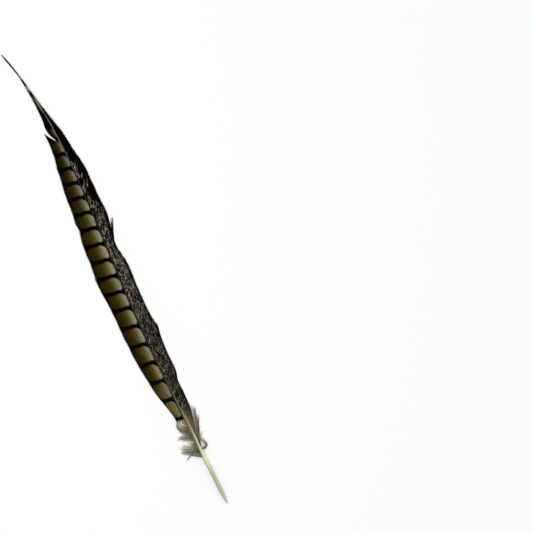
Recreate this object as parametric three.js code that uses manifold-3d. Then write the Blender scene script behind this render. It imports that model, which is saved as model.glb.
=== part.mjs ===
// A barred tail feather of a long-tailed pheasant, lying on a flat surface with its upper
// side up. Millimetres, +Z up. The quill end points to -Y and the tip to +Y. The wide
// barred vane is on the -X side of the shaft and the narrow mottled vane on the +X side.
//
// A place on the feather is given by two lengths: its distance from the tip, measured
// along the shaft, and how far out it is from the shaft's middle line. The feather grew as
// one piece, so the shaft, the vanes and the downy locks are joined into one solid.

import Module from "manifold-3d";
import * as THREE from "three";
import { mergeVertices } from "three/addons/utils/BufferGeometryUtils.js";

// The shaft's middle line, from the quill end to the tip: [x, y, height].
const SHAFT_LINE = [
  [-0.2, 0, 2],
  [0.2, 60, 2.5],
  [0.4, 115, 3.2],
  [1.1, 180, 3.8],
  [2.8, 224, 4.1],
  [5.3, 268, 4.1],
  [8.4, 312, 4],
  [11.5, 356, 3.7],
  [14, 400, 3.1],
  [14.7, 432, 2.6],
  [13.9, 465, 2],
  [12.1, 487, 1.5],
  [9.2, 509, 1.1],
  [5, 531, 0.7],
  [0, 552, 0.4],
];

// The shaft's size, tip first: [distance from the tip, width or depth].
const SHAFT_WIDTH = [
  [0, 0.5],
  [12, 1.3],
  [60, 1.1],
  [130, 1],
  [220, 1.3],
  [330, 1.8],
  [440, 2.5],
  [496, 3.9],
  [536, 4],
  [548, 2.8],
  [554, 1.2],
];
const SHAFT_DEPTH = [
  [0, 0.5],
  [12, 0.8],
  [60, 0.9],
  [130, 1.3],
  [220, 2],
  [330, 2.8],
  [440, 3.6],
  [496, 3.9],
  [536, 4],
  [548, 2.8],
  [554, 1.2],
];
const SHAFT_SIDES = 10;
const SHAFT_STEPS = 56;

// A vane is made of webs, parted where the vane has split. Each web hangs on the barbs
// rooted between two places on the shaft, and its edge is [distance from the tip, out].
// `lean` says how far towards the tip a barb has run when it is `out` from the shaft:
// lean[0] * out + lean[1] * out². `landing` is how far out the vane comes down to the
// surface that the feather lies on, and past that it lies flat. `locks` are the locks that
// stand free of the webs, most of them of down, each along a curve from its foot to its
// tip: [distance from the tip, out] at foot, bend and tip, and the lock's full width.
const BARRED_VANE = {
  side: -1,
  lean: [1.38, 0.032],
  landing: [
    [0, 4],
    [90, 8],
    [180, 15],
    [300, 19],
    [400, 17],
    [480, 12],
  ],
  webs: [
    {
      roots: [32, 118.5],
      columns: 18,
      edge: [
        [25, 0.6],
        [44, 2],
        [66, 3.8],
        [88, 6.2],
        [96, 7.7],
        [104, 6.6],
        [114, 3.3],
      ],
    },
    {
      roots: [120, 476],
      columns: 72,
      edge: [
        [99, 11.5],
        [121, 12.2],
        [143, 16],
        [165, 18.9],
        [198, 20.9],
        [207, 22],
        [213, 20.9],
        [225, 23.1],
        [253, 23.9],
        [277, 25],
        [308, 22.6],
        [352, 21.7],
        [374, 20.7],
        [396, 18.5],
        [412, 16.7],
        [434, 12.1],
        [446, 10],
        [456, 13.2],
        [463, 11],
        [468, 5.5],
        [473, 2.2],
      ],
    },
  ],
  locks: [
    { foot: [466, 0], bend: [462, 7], tip: [461.5, 15], width: 5 },
    { foot: [474, 0], bend: [467, 8], tip: [467.5, 19], width: 5 },
    { foot: [481, 0], bend: [477, 8], tip: [473, 19], width: 6 },
    { foot: [486, 0], bend: [482, 10], tip: [477, 23], width: 7 },
    { foot: [491, 0], bend: [487, 10], tip: [482, 22], width: 7 },
    { foot: [495, 0], bend: [491, 7], tip: [486.5, 16], width: 6 },
    { foot: [494, 0], bend: [485.5, 10], tip: [492, 20.5], width: 1.8 },
  ],
};

const MOTTLED_VANE = {
  side: 1,
  lean: [1.45, 0.06],
  landing: [
    [0, 4],
    [110, 8],
    [200, 11],
    [400, 11],
    [480, 9],
  ],
  webs: [
    {
      roots: [56, 480],
      columns: 84,
      edge: [
        [50, 0.6],
        [66, 1.1],
        [88, 3.6],
        [110, 7.2],
        [132, 9.1],
        [151, 12.1],
        [187, 13],
        [209, 14.3],
        [220, 13.2],
        [244, 9.9],
        [264, 13.2],
        [275, 14.3],
        [302, 13.9],
        [333, 14.6],
        [346, 16.8],
        [357, 15.4],
        [374, 14.5],
        [401, 13.8],
        [407, 11.6],
        [440, 11],
        [453, 12.4],
        [462, 9.4],
        [473, 5],
        [477, 2.2],
      ],
    },
  ],
  locks: [
    { foot: [243, 8.4], bend: [231, 11.5], tip: [215.6, 17], width: 2.2 },
    { foot: [472, 0], bend: [458, 8], tip: [445.5, 14], width: 4 },
    { foot: [476, 0], bend: [463, 8], tip: [452.5, 14.8], width: 4.4 },
    { foot: [480, 0], bend: [466, 7], tip: [458, 12.8], width: 4 },
    { foot: [490, 0], bend: [489, 13.5], tip: [475.5, 4.5], width: 3 },
  ],
};
const WEB_ROWS = 5;
const WEB_THICKNESS = 0.7;
const WEB_EDGE_THICKNESS = 0.4;
const WEB_PAST_MIDDLE = 0.2; // a web starts this far beyond the shaft's middle line
const WEB_ABOVE_MIDDLE = 0.2; // and above it, as a share of the shaft's depth
const BARB_RIDGE = 0.16; // every second column stands this much higher

// Near the tip the barbs lie closer along the shaft: they run up to this many times as far.
const TIP_LEAN = 2.2;
const TIP_LEAN_ENDS = 115;

const LOCK_SIDES = 6;
const LOCK_STEPS = 5;
const LOCK_THICKNESS = 0.9;
const LOCK_TIP_HEIGHT = 0.5;

const WELD = 1e-4;

const wasm = await Module();
wasm.setup();

const shaftCurve = new THREE.CatmullRomCurve3(
  SHAFT_LINE.map((point) => new THREE.Vector3(...point)),
  false,
  "centripetal",
);
shaftCurve.arcLengthDivisions = 1000;
const LENGTH = shaftCurve.getLength();

/** A smooth curve y(x) through the points, level with its first and last beyond them. */
function smoothThrough(points) {
  const slope = points.map(([x, y], i) => {
    const before = points[Math.max(i - 1, 0)];
    const after = points[Math.min(i + 1, points.length - 1)];
    const turns = (y - before[1]) * (after[1] - y) <= 0;
    return turns ? 0 : (after[1] - before[1]) / (after[0] - before[0]);
  });
  return (x) => {
    const next = points.findIndex((point) => point[0] > x);
    if (next === 0) return points[0][1];
    if (next < 0) return points[points.length - 1][1];
    const [x0, y0] = points[next - 1];
    const [x1, y1] = points[next];
    const span = x1 - x0;
    const t = (x - x0) / span;
    const bend0 = slope[next - 1] * span;
    const bend1 = slope[next] * span;
    const blend = t * t * (3 - 2 * t);
    return y0 + (y1 - y0) * blend + bend0 * t * (1 - t) ** 2 - bend1 * t * t * (1 - t);
  };
}

const shaftWidth = smoothThrough(SHAFT_WIDTH);
const shaftDepth = smoothThrough(SHAFT_DEPTH);

/** The shaft's middle line at a distance from the tip, and the level way out to +X there. */
function shaftAt(fromTip) {
  const along = THREE.MathUtils.clamp(1 - fromTip / LENGTH, 0, 1);
  const middle = shaftCurve.getPointAt(along);
  const forward = shaftCurve.getTangentAt(along);
  const outward = new THREE.Vector3(forward.y, -forward.x, 0).normalize();
  return { middle, outward };
}

/** The point `out` from the middle line, measured to +X, and at the given height. */
function pointOnFeather(fromTip, out, height) {
  const { middle, outward } = shaftAt(fromTip);
  return middle.addScaledVector(outward, out).setZ(height);
}

/** Moves every vertex of a geometry to the point that `place` gives for it. */
function reshape(geometry, place) {
  const position = geometry.attributes.position;
  const vertex = new THREE.Vector3();
  for (let i = 0; i < position.count; i += 1) {
    vertex.fromBufferAttribute(position, i);
    position.setXYZ(i, ...place(vertex.clone()));
  }
  return geometry;
}

/** The calamus and rachis: an oval rod along the whole shaft, thinning to the tip. */
function makeShaft() {
  const rod = new THREE.CylinderGeometry(1, 1, 1, SHAFT_SIDES, SHAFT_STEPS);
  rod.rotateX(Math.PI / 2);
  rod.rotateZ(Math.PI / SHAFT_SIDES);
  return reshape(rod, (unit) => {
    const share = 0.5 - unit.z;
    // the steps are closer together at the two ends, where the rod is rounded off
    const eased = 0.5 * share + 0.5 * THREE.MathUtils.smoothstep(share, 0, 1);
    const fromTip = LENGTH * eased;
    const { middle } = shaftAt(fromTip);
    const height = middle.z + (unit.y * shaftDepth(fromTip)) / 2;
    return pointOnFeather(fromTip, (unit.x * shaftWidth(fromTip)) / 2, height);
  });
}

/** How far towards the tip a barb has run when it is `out` from the shaft. */
function barbRun(vane, root, out) {
  const nearTip = 1 - THREE.MathUtils.smoothstep(root, 0, TIP_LEAN_ENDS);
  const extra = 1 + (TIP_LEAN - 1) * nearTip;
  return extra * (vane.lean[0] * out + vane.lean[1] * out * out);
}

/** How far out the barb rooted at `root` ends, where it meets the web's edge. */
function barbEnd(vane, root, edge) {
  let inside = 0;
  let outside = 30;
  for (let i = 0; i < 24; i += 1) {
    const middle = (inside + outside) / 2;
    if (middle < edge(root - barbRun(vane, root, middle))) inside = middle;
    else outside = middle;
  }
  return inside;
}

/** The height of a vane's underside: it curves down from the shaft and then lies flat. */
function undersideHeight(fromTip, out, landing) {
  const raised = WEB_ABOVE_MIDDLE * shaftDepth(fromTip) - WEB_THICKNESS / 2;
  const atShaft = shaftAt(fromTip).middle.z + raised;
  const share = THREE.MathUtils.clamp(out / landing(fromTip), 0, 1);
  return Math.max(0, atShaft) * (1 - share * share) ** 2;
}

/** One web: a thin sheet whose columns are barbs and whose rows go out from the shaft. */
function makeWeb(vane, web) {
  const edge = smoothThrough(web.edge);
  const landing = smoothThrough(vane.landing);
  const sheet = new THREE.BoxGeometry(1, 1, 1, WEB_ROWS, web.columns, 1);
  return reshape(sheet, (unit) => {
    const share = unit.x + 0.5;
    const column = Math.round((0.5 - vane.side * unit.y) * web.columns);
    const root = THREE.MathUtils.lerp(...web.roots, column / web.columns);
    const end = barbEnd(vane, root, edge);
    const out = THREE.MathUtils.lerp(-WEB_PAST_MIDDLE, end, share);
    const fromTip = root - barbRun(vane, root, Math.max(out, 0));
    let height = undersideHeight(fromTip, Math.max(out, 0), landing);
    if (unit.z > 0) {
      const ridge = BARB_RIDGE * (column % 2) * Math.sin(Math.PI * share);
      height += THREE.MathUtils.lerp(WEB_THICKNESS, WEB_EDGE_THICKNESS, share) + ridge;
    }
    return pointOnFeather(fromTip, vane.side * out, height);
  });
}

/** A tapering lock of barbs along a curve from its foot to its tip. */
function makeLock(vane, { foot, bend, tip, width }) {
  const curve = new THREE.QuadraticBezierCurve(
    new THREE.Vector2(...foot),
    new THREE.Vector2(...bend),
    new THREE.Vector2(...tip),
  );
  const underside = undersideHeight(...foot, smoothThrough(vane.landing));
  const footHeight = underside + WEB_THICKNESS / 2;
  const rod = new THREE.CylinderGeometry(1, 1, 1, LOCK_SIDES, LOCK_STEPS);
  rod.rotateX(Math.PI / 2);
  return reshape(rod, (unit) => {
    const share = unit.z + 0.5;
    const fullness = Math.sin(Math.PI * (0.16 + 0.81 * share)) ** 0.6;
    const centre = curve.getPoint(share);
    const across = curve.getTangent(share).rotateAround(new THREE.Vector2(), -Math.PI / 2);
    const sideways = (unit.x * fullness * width) / 2;
    const fromTip = centre.x + across.x * sideways;
    const out = vane.side * (centre.y + across.y * sideways);
    const height = THREE.MathUtils.lerp(footHeight, LOCK_TIP_HEIGHT, Math.sqrt(share));
    const thick = (unit.y * fullness * LOCK_THICKNESS) / 2;
    return pointOnFeather(fromTip, out, height + thick);
  });
}

/** A geometry as a solid that manifold-3d can join, with its faces pointing out. */
function toSolid(geometry) {
  geometry.deleteAttribute("normal");
  geometry.deleteAttribute("uv");
  const welded = mergeVertices(geometry, WELD);
  const vertProperties = welded.attributes.position.array;
  const triVerts = Uint32Array.from(welded.index.array);
  const solid = new wasm.Manifold(new wasm.Mesh({ numProp: 3, vertProperties, triVerts }));
  if (solid.volume() > 0) return solid;
  return new wasm.Manifold(
    new wasm.Mesh({ numProp: 3, vertProperties, triVerts: triVerts.reverse() }),
  );
}

/** A solid back as a geometry. */
function toGeometry(solid) {
  const mesh = solid.getMesh();
  const geometry = new THREE.BufferGeometry();
  geometry.setAttribute("position", new THREE.BufferAttribute(mesh.vertProperties, 3));
  geometry.setIndex(new THREE.BufferAttribute(mesh.triVerts, 1));
  geometry.computeVertexNormals();
  return geometry;
}

/** The whole feather, with its origin below the middle of the box round it. */
function makeFeather() {
  const pieces = [BARRED_VANE, MOTTLED_VANE].flatMap((vane) => [
    ...vane.webs.map((web) => makeWeb(vane, web)),
    ...vane.locks.map((lock) => makeLock(vane, lock)),
  ]);
  const joined = pieces
    .map(toSolid)
    .reduce((whole, piece) => whole.add(piece), toSolid(makeShaft()));
  const geometry = toGeometry(joined);
  geometry.computeBoundingBox();
  const centre = geometry.boundingBox.getCenter(new THREE.Vector3());
  const material = new THREE.MeshStandardMaterial({
    color: 0x564d38,
    roughness: 0.75,
    metalness: 0,
  });
  const feather = new THREE.Mesh(geometry, material);
  feather.name = "feather";
  feather.position.set(-centre.x, -centre.y, -geometry.boundingBox.min.z);
  return feather;
}

const part = new THREE.Group();
part.name = "pheasant_tail_feather";
part.add(makeFeather());

export default part;
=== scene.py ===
"""A barred tail feather of a long-tailed pheasant, lying upper side up on a pale floor.

Every length is in millimetres until a mesh is made. A place on the feather is given by its
distance from the tip, measured along the shaft, and by how far out it is from the shaft's
middle line. The barred vane is on the -X side of the shaft and the mottled vane on +X.
"""

import logging
import math
from collections.abc import Callable
from dataclasses import dataclass, field
from enum import Enum
from functools import partial

import bpy
import numpy as np
from mathutils import Matrix, Vector


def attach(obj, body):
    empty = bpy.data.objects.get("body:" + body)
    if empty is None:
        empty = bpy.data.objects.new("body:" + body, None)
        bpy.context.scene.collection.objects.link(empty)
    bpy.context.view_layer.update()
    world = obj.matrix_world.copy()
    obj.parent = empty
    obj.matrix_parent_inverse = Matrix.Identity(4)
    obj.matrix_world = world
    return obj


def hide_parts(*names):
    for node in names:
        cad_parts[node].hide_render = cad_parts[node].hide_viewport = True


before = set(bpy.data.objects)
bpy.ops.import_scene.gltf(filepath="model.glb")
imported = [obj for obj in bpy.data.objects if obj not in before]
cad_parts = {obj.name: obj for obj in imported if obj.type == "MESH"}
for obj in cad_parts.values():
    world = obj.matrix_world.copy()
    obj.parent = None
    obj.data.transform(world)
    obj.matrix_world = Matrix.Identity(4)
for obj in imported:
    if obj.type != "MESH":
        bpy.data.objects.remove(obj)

LOG = logging.getLogger("pheasant_tail_feather")
BODY = "root"
NODE = "feather"
MM = 0.001
UP = np.array([0.0, 0.0, 1.0])

Points = tuple[tuple[float, float], ...]
Stops = tuple[tuple[float, str], ...]
Fade = tuple[float, float, float, float]  # the start and end of a stretch, the value at each
Socket = bpy.types.NodeSocket
AddNode = Callable[..., Socket | None]  # add_node, bound to one material's tree

WEB_RAMP_LENGTH = 554.0  # the webs' colour ramps end this far from the tip
SHAFT_RAMP_LENGTH = 555.0  # and the shaft's
NOISE_SPAN = (0.3, 0.7)  # a noise texture seldom leaves this span
NOISE_MIDDLE = 0.5


class Side(Enum):
    """The two sides of the shaft, with the way that each lies along X."""

    BARRED = -1
    MOTTLED = 1


class Slot(Enum):
    """The material slots of the part's record."""

    BARRED = "barred_vane"
    MOTTLED = "mottled_vane"
    DOWN = "down"
    SHAFT = "shaft"


# --------------------------------------------------------------------------- numbers


def to_linear(colour: str) -> tuple[float, float, float, float]:
    """Turns an sRGB hex colour into the linear colour that a shader takes.

    Args:
        colour: the colour as "#rrggbb".

    Returns:
        Linear red, green and blue, and an alpha of 1.
    """
    channels = [int(colour[i : i + 2], 16) / 255 for i in (1, 3, 5)]
    linear = [c / 12.92 if c <= 0.04045 else ((c + 0.055) / 1.055) ** 2.4 for c in channels]
    return (*linear, 1.0)


def smooth_step(values: np.ndarray, start: float, end: float) -> np.ndarray:
    """Rises from 0 at start to 1 at end, level at both.

    Args:
        values: the places to work it out for.
        start: where it is 0.
        end: where it is 1.

    Returns:
        The share at each place.
    """
    share = np.clip((values - start) / (end - start), 0, 1)
    return share * share * (3 - 2 * share)


def wander(count: int, neighbours: float, rng: np.random.Generator) -> np.ndarray:
    """A random row in which neighbours are alike, as barbs that cling together are.

    Args:
        count: how many values.
        neighbours: over about how many values the row changes.
        rng: the source of the random numbers.

    Returns:
        The values, with a spread of 1 round 0.
    """
    half = int(3 * neighbours) + 1
    kernel = np.exp(-0.5 * (np.arange(-half, half + 1) / neighbours) ** 2)
    row = np.convolve(rng.normal(size=count + 2 * half), kernel, "valid")
    return row / math.sqrt((kernel**2).sum())


def unit(vectors: np.ndarray) -> np.ndarray:
    """The vectors at a length of 1."""
    return vectors / np.maximum(np.linalg.norm(vectors, axis=-1, keepdims=True), 1e-9)


@dataclass(frozen=True)
class Profile:
    """A smooth curve through a few points, level beyond the first and the last.

    Attributes:
        points: the (place, value) pairs, in order of place.
    """

    points: Points

    def __call__(self, places: np.ndarray | float) -> np.ndarray:
        """The curve's value at each place.

        Args:
            places: where to read the curve.

        Returns:
            One value for each place.
        """
        x, y = np.array(self.points, float).T
        rise = np.diff(y)
        slope = np.zeros(len(x))
        slope[1:-1] = np.where(rise[:-1] * rise[1:] > 0, (y[2:] - y[:-2]) / (x[2:] - x[:-2]), 0)
        at = np.clip(places, x[0], x[-1])
        i = np.clip(np.searchsorted(x, at, "right") - 1, 0, len(x) - 2)
        span = x[i + 1] - x[i]
        t = (at - x[i]) / span
        bend = slope[i] * t * (1 - t) ** 2 - slope[i + 1] * t * t * (1 - t)
        return y[i] + (y[i + 1] - y[i]) * t * t * (3 - 2 * t) + span * bend


@dataclass
class ShaftLine:
    """The shaft's middle line, from the quill end to the tip, in the part's frame.

    Attributes:
        quill_end: the lowest corner of the line in the part's frame: x, y.
        knots: the (x, y, height) points that the line runs through, from the quill end.
        steps: how many short pieces each stretch between two knots is measured in.
        reach: over how far to each side the line's direction is measured.
        points: the line's points, worked out from the knots.
        lengths: how far along the line each point is.
    """

    quill_end: tuple[float, float]
    knots: tuple[tuple[float, float, float], ...] = (
        (-0.2, 0, 2), (0.2, 60, 2.5), (0.4, 115, 3.2), (1.1, 180, 3.8),
        (2.8, 224, 4.1), (5.3, 268, 4.1), (8.4, 312, 4), (11.5, 356, 3.7),
        (14, 400, 3.1), (14.7, 432, 2.6), (13.9, 465, 2), (12.1, 487, 1.5),
        (9.2, 509, 1.1), (5, 531, 0.7), (0, 552, 0.4),
    )
    steps: int = 60
    reach: float = 0.5
    points: np.ndarray = field(init=False)
    lengths: np.ndarray = field(init=False)

    def __post_init__(self) -> None:
        """Measures the line once, as a centripetal spline through its knots."""
        knots = np.array(self.knots, float)
        knots[:, :2] += self.quill_end
        ends = [2 * knots[0] - knots[1]], [2 * knots[-1] - knots[-2]]
        p = np.concatenate([ends[0], knots, ends[1]])
        gap = np.linalg.norm(np.diff(p, axis=0), axis=1, keepdims=True) ** 0.5
        rise = np.diff(p, axis=0)
        both = (p[2:] - p[:-2]) / (gap[:-1] + gap[1:])
        slope = rise[:-1] / gap[:-1] - both + rise[1:] / gap[1:]
        t = np.linspace(0, 1, self.steps, endpoint=False)[:, None]
        stretches = []
        for i in range(len(knots) - 1):
            start, end = slope[i] * gap[i + 1], slope[i + 1] * gap[i + 1]
            climb = knots[i + 1] - knots[i]
            cubic = 3 * climb - 2 * start - end
            stretches.append(knots[i] + start * t + cubic * t**2 + (climb - cubic - start) * t**3)
        self.points = np.concatenate([*stretches, knots[-1:]])
        steps = np.linalg.norm(np.diff(self.points, axis=0), axis=1)
        self.lengths = np.concatenate([[0], np.cumsum(steps)])

    @property
    def length(self) -> float:
        """How long the shaft is."""
        return float(self.lengths[-1])

    def middle(self, from_tip: np.ndarray) -> np.ndarray:
        """The middle line's points.

        Args:
            from_tip: distances from the tip.

        Returns:
            A point for each distance.
        """
        along = self.length - from_tip
        return np.stack([np.interp(along, self.lengths, p) for p in self.points.T], -1)

    def place(self, from_tip: np.ndarray, out: np.ndarray, height: np.ndarray) -> np.ndarray:
        """Points on the feather.

        Args:
            from_tip: distances from the tip.
            out: distances from the middle line, measured to +X.
            height: heights above the surface that the feather lies on.

        Returns:
            A point in the part's frame for each.
        """
        forward = unit(self.middle(from_tip - self.reach) - self.middle(from_tip + self.reach))
        middle = self.middle(from_tip)
        x = middle[..., 0] + forward[..., 1] * out
        y = middle[..., 1] - forward[..., 0] * out
        return np.stack([x, y, height + 0 * x], -1)


SHAFT_WIDTH = Profile(
    (
        (0, 0.8), (5, 1.5), (11, 1.75), (20, 1.55), (30, 1.45), (60, 1.2), (130, 1),
        (220, 1.3), (330, 1.8), (440, 2.5), (470, 3.5), (496, 3.8), (536, 3.8), (548, 2.6),
        (554, 1.2),
    )
)
SHAFT_DEPTH = Profile(
    (
        (0, 0.5), (12, 0.8), (60, 0.9), (130, 1.3), (220, 2), (330, 2.8), (440, 3.6),
        (496, 3.9), (536, 4), (548, 2.8), (554, 1.2),
    )
)


# --------------------------------------------------------------------------- meshes


@dataclass
class Strands:
    """Thin closed bodies swept along lines, one row of stations for each line.

    Attributes:
        centre: the lines, as (strands, stations, 3).
        width: full width at each station, as (strands, stations).
        depth: full depth at each station.
        section: the outline swept along, as (sides, 2) shares of the width and the depth,
            or one such outline for each station.
        values: what the finish reads, by name, as (strands, stations) or with 3 numbers each.
        chart: where each station lies on the flat map, as (strands, stations, 2) shares.
        chart_width: how wide a strand is on that map.
    """

    centre: np.ndarray
    width: np.ndarray
    depth: np.ndarray
    section: np.ndarray
    values: dict[str, np.ndarray]
    chart: np.ndarray
    chart_width: float = 0.0

    def frames(self) -> tuple[np.ndarray, np.ndarray]:
        """The level way across each strand, and the way up from it.

        Returns:
            Two arrays of unit vectors, as (strands, stations, 3).
        """
        forward = unit(np.gradient(self.centre, axis=1))
        across = unit(np.cross(forward, UP))
        return across, np.cross(across, forward)

    def vertices(self) -> np.ndarray:
        """The vertices of all strands, as (strands, stations, sides, 3)."""
        across, up = self.frames()
        section = np.broadcast_to(self.section, (*self.width.shape, *self.section.shape[-2:]))
        sideways = section[..., 0] * self.width[..., None]
        upward = section[..., 1] * self.depth[..., None]
        offset = sideways[..., None] * across[:, :, None] + upward[..., None] * up[:, :, None]
        return self.centre[:, :, None] + offset

    def chart_points(self) -> np.ndarray:
        """The flat map's point of each vertex, as (strands, stations, sides, 2)."""
        section = np.broadcast_to(self.section, (*self.width.shape, *self.section.shape[-2:]))
        points = np.repeat(self.chart[:, :, None], section.shape[2], axis=2).copy()
        points[..., 0] += section[..., 0] * self.chart_width
        return np.clip(points, 0, 1)

    def faces(self) -> list[list[int]]:
        """The faces that wrap each strand, with a cap at both of its ends."""
        strands, stations = self.width.shape
        sides = self.section.shape[-2]
        index = np.arange(strands * stations * sides).reshape(strands, stations, sides)
        turned = np.roll(index, -1, axis=2)
        wrap = np.stack([index[:, :-1], index[:, 1:], turned[:, 1:], turned[:, :-1]], -1)
        return [
            *wrap.reshape(-1, 4).tolist(),
            *index[:, 0].tolist(),
            *index[:, -1, ::-1].tolist(),
        ]


@dataclass
class Draft:
    """A piece in the making: sets of strands that end up in one mesh.

    Attributes:
        name: the piece's name.
        sets: the strands collected so far.
    """

    name: str
    sets: list[Strands] = field(default_factory=list)

    def add(self, strands: Strands) -> None:
        """Takes in another set of strands."""
        self.sets.append(strands)

    def make(self, material: bpy.types.Material, slot: Slot, smooth: bool) -> bpy.types.Object:
        """Args:
            material: its finish.
            slot: the record's slot that the finish belongs to; not used.
            smooth: whether light turns softly over its faces.

        Returns:
            The finished object.
        """
        faces: list[list[int]] = []
        start = 0
        for strands in self.sets:
            faces += [[start + corner for corner in face] for face in strands.faces()]
            start += strands.width.size * strands.section.shape[-2]
        points = np.concatenate([s.vertices().reshape(-1, 3) for s in self.sets])
        mesh = bpy.data.meshes.new(self.name)
        mesh.from_pydata((points * MM).tolist(), [], faces)
        for name in self.sets[0].values:
            self.write_values(mesh, name)
        self.write_chart(mesh)
        mesh.polygons.foreach_set("use_smooth", [smooth] * len(mesh.polygons))
        mesh.materials.append(material)
        mesh.update()
        piece = bpy.data.objects.new(self.name, mesh)
        bpy.context.scene.collection.objects.link(piece)
        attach(piece, BODY)
        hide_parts(NODE)
        LOG.info("%s: %d strands, %d faces", self.name, self.count(), len(faces))
        return piece

    def count(self) -> int:
        """How many strands the piece has."""
        return sum(s.width.shape[0] for s in self.sets)

    def write_values(self, mesh: bpy.types.Mesh, name: str) -> None:
        """Writes one named value of every station to its vertices.

        Args:
            mesh: the mesh to write to.
            name: the value's name.
        """
        rows = []
        for strands in self.sets:
            value = strands.values[name]
            rows.append(np.repeat(value[:, :, None], strands.section.shape[-2], axis=2))
        vector = rows[0].ndim == 4
        flat = np.concatenate([row.reshape(-1, 3) if vector else row.ravel() for row in rows])
        attribute = mesh.attributes.new(name, "FLOAT_VECTOR" if vector else "FLOAT", "POINT")
        key = "vector" if vector else "value"
        attribute.data.foreach_set(key, flat.astype(np.float32).ravel())

    def write_chart(self, mesh: bpy.types.Mesh) -> None:
        """Lays the strands out flat on a map, the UV layer named OFBake.

        Args:
            mesh: the mesh to write to.
        """
        points = np.concatenate([s.chart_points().reshape(-1, 2) for s in self.sets])
        corners = np.empty(len(mesh.loops), np.int32)
        mesh.loops.foreach_get("vertex_index", corners)
        layer = mesh.uv_layers.new(name="OFBake")
        layer.data.foreach_set("uv", points[corners].astype(np.float32).ravel())


# --------------------------------------------------------------------------- finishes


def add_node(
    tree: bpy.types.NodeTree,
    kind: str,
    inputs: tuple[object, ...] | dict[int | str, object] = (),
    stops: Stops = (),
    **settings: object,
) -> Socket | None:
    """Adds a shader node with its settings and links.

    Args:
        tree: the tree to add it to.
        kind: the node's type, without the "ShaderNode" that each begins with.
        inputs: what the inputs get, in order or by name: an output to link or a plain value.
        stops: a colour ramp's (place, hex colour) pairs, in order of place.
        **settings: the node's own properties.

    Returns:
        The node's first output in use, from which its other outputs are reached.
    """
    node = tree.nodes.new("ShaderNode" + kind)
    for name, value in settings.items():
        setattr(node, name, value)
    for key, value in inputs.items() if isinstance(inputs, dict) else enumerate(inputs):
        if isinstance(value, Socket):
            tree.links.new(value, node.inputs[key])
        else:
            node.inputs[key].default_value = value
    for i, (place, colour) in enumerate(stops):
        elements = node.color_ramp.elements
        element = elements[i] if i < len(elements) else elements.new(place)
        element.position = place
        element.color = to_linear(colour)
    return next((socket for socket in node.outputs if socket.enabled), None)


def start_material(name: str) -> tuple[bpy.types.Material, AddNode]:
    """Starts a material with no nodes.

    Args:
        name: its name.

    Returns:
        The material, and add_node bound to its tree.
    """
    material = bpy.data.materials.new(name)
    material.use_nodes = True
    material.node_tree.nodes.clear()
    return material, partial(add_node, material.node_tree)


@dataclass(frozen=True)
class Keratin:
    """Feather keratin, the horn that every part of a feather has grown from.

    Attributes:
        name: the material's name.
        roughness: the lowest and highest roughness over the surface.
        relief: how deep the finest relief is, in millimetres.
        specular: the specular level.
        sheen: the strength of the soft light at grazing angles.
        ior: the refractive index, 1.55 for keratin.
        sheen_roughness: how wide that soft light spreads.
    """

    name: str
    roughness: tuple[float, float]
    relief: float
    specular: float
    sheen: float = 0.0
    ior: float = 1.55
    sheen_roughness: float = 0.4

    def make(self) -> bpy.types.Material:
        """Makes the material.

        Returns:
            A material whose colour and relief come from its own nodes.
        """
        material, add = start_material(self.name)
        colour, grain = self.pattern(add)
        look = {
            "Base Color": colour,
            "Roughness": add("MapRange", (grain, *NOISE_SPAN, *self.roughness)),
            "Normal": add("Bump", {"Height": grain, "Distance": self.relief * MM, "Strength": 1.0}),
            "Metallic": 0.0,
            "IOR": self.ior,
            "Specular IOR Level": self.specular,
            "Sheen Weight": self.sheen,
            "Sheen Roughness": self.sheen_roughness,
        }
        add("OutputMaterial", {"Surface": add("BsdfPrincipled", look)})
        return material

    def pattern(self, add: AddNode) -> tuple[Socket, Socket]:
        """Adds the nodes that give the surface its colour and its grain.

        Args:
            add: adds a node to the material.

        Returns:
            The colour, and a grain between 0 and 1.
        """
        raise NotImplementedError


@dataclass(frozen=True)
class WebKeratin(Keratin):
    """Keratin grown as barbs that hook together into a closed web.

    It gives the eye a matt, finely combed surface: each barb is a little lighter or darker
    than the next one, and the streaks run along the barbs.

    Attributes:
        grains: how wide the finest streak is, about one barb, and the broader ones, a few
            barbs that cling together. Real barbs are finer. These go with the barbs as they
            are drawn, which is coarse enough to show.
        streak_length: how long a streak is.
        combing: how the colour's strength follows the two kinds of streak together.
    """

    grains: tuple[float, float] = (0.9, 3.2)
    streak_length: float = 14.0
    combing: Fade = (0.72, 1.28, 0.6, 1.4)

    def streaks(self, add: AddNode, barb: Socket) -> list[Socket]:
        """Adds the streaks that run along the barbs.

        Args:
            add: adds a node to the material.
            barb: the vector (root, run, tone) of each place.

        Returns:
            The fine streaks and the broad ones, both between 0 and 1.
        """
        rows = []
        for grain in self.grains:
            scale = (1 / grain, 1 / self.streak_length, 1.0)
            at = add("VectorMath", (barb, scale), operation="MULTIPLY")
            look = {"Vector": at, "Scale": 1.0, "Detail": 2.0, "Roughness": 0.6}
            rows.append(add("TexNoise", look))
        return rows

    def combed(self, add: AddNode, colour: Socket, fine: Socket, broad: Socket) -> Socket:
        """Makes a colour lighter and darker from barb to barb.

        Args:
            add: adds a node to the material.
            colour: the plain colour.
            fine: the fine streaks.
            broad: the broad streaks.

        Returns:
            The streaked colour.
        """
        both = add("Math", (fine, broad), operation="ADD")
        gain = add("MapRange", (both, *self.combing))
        return add("VectorMath", (colour, gain), operation="MULTIPLY")


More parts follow.
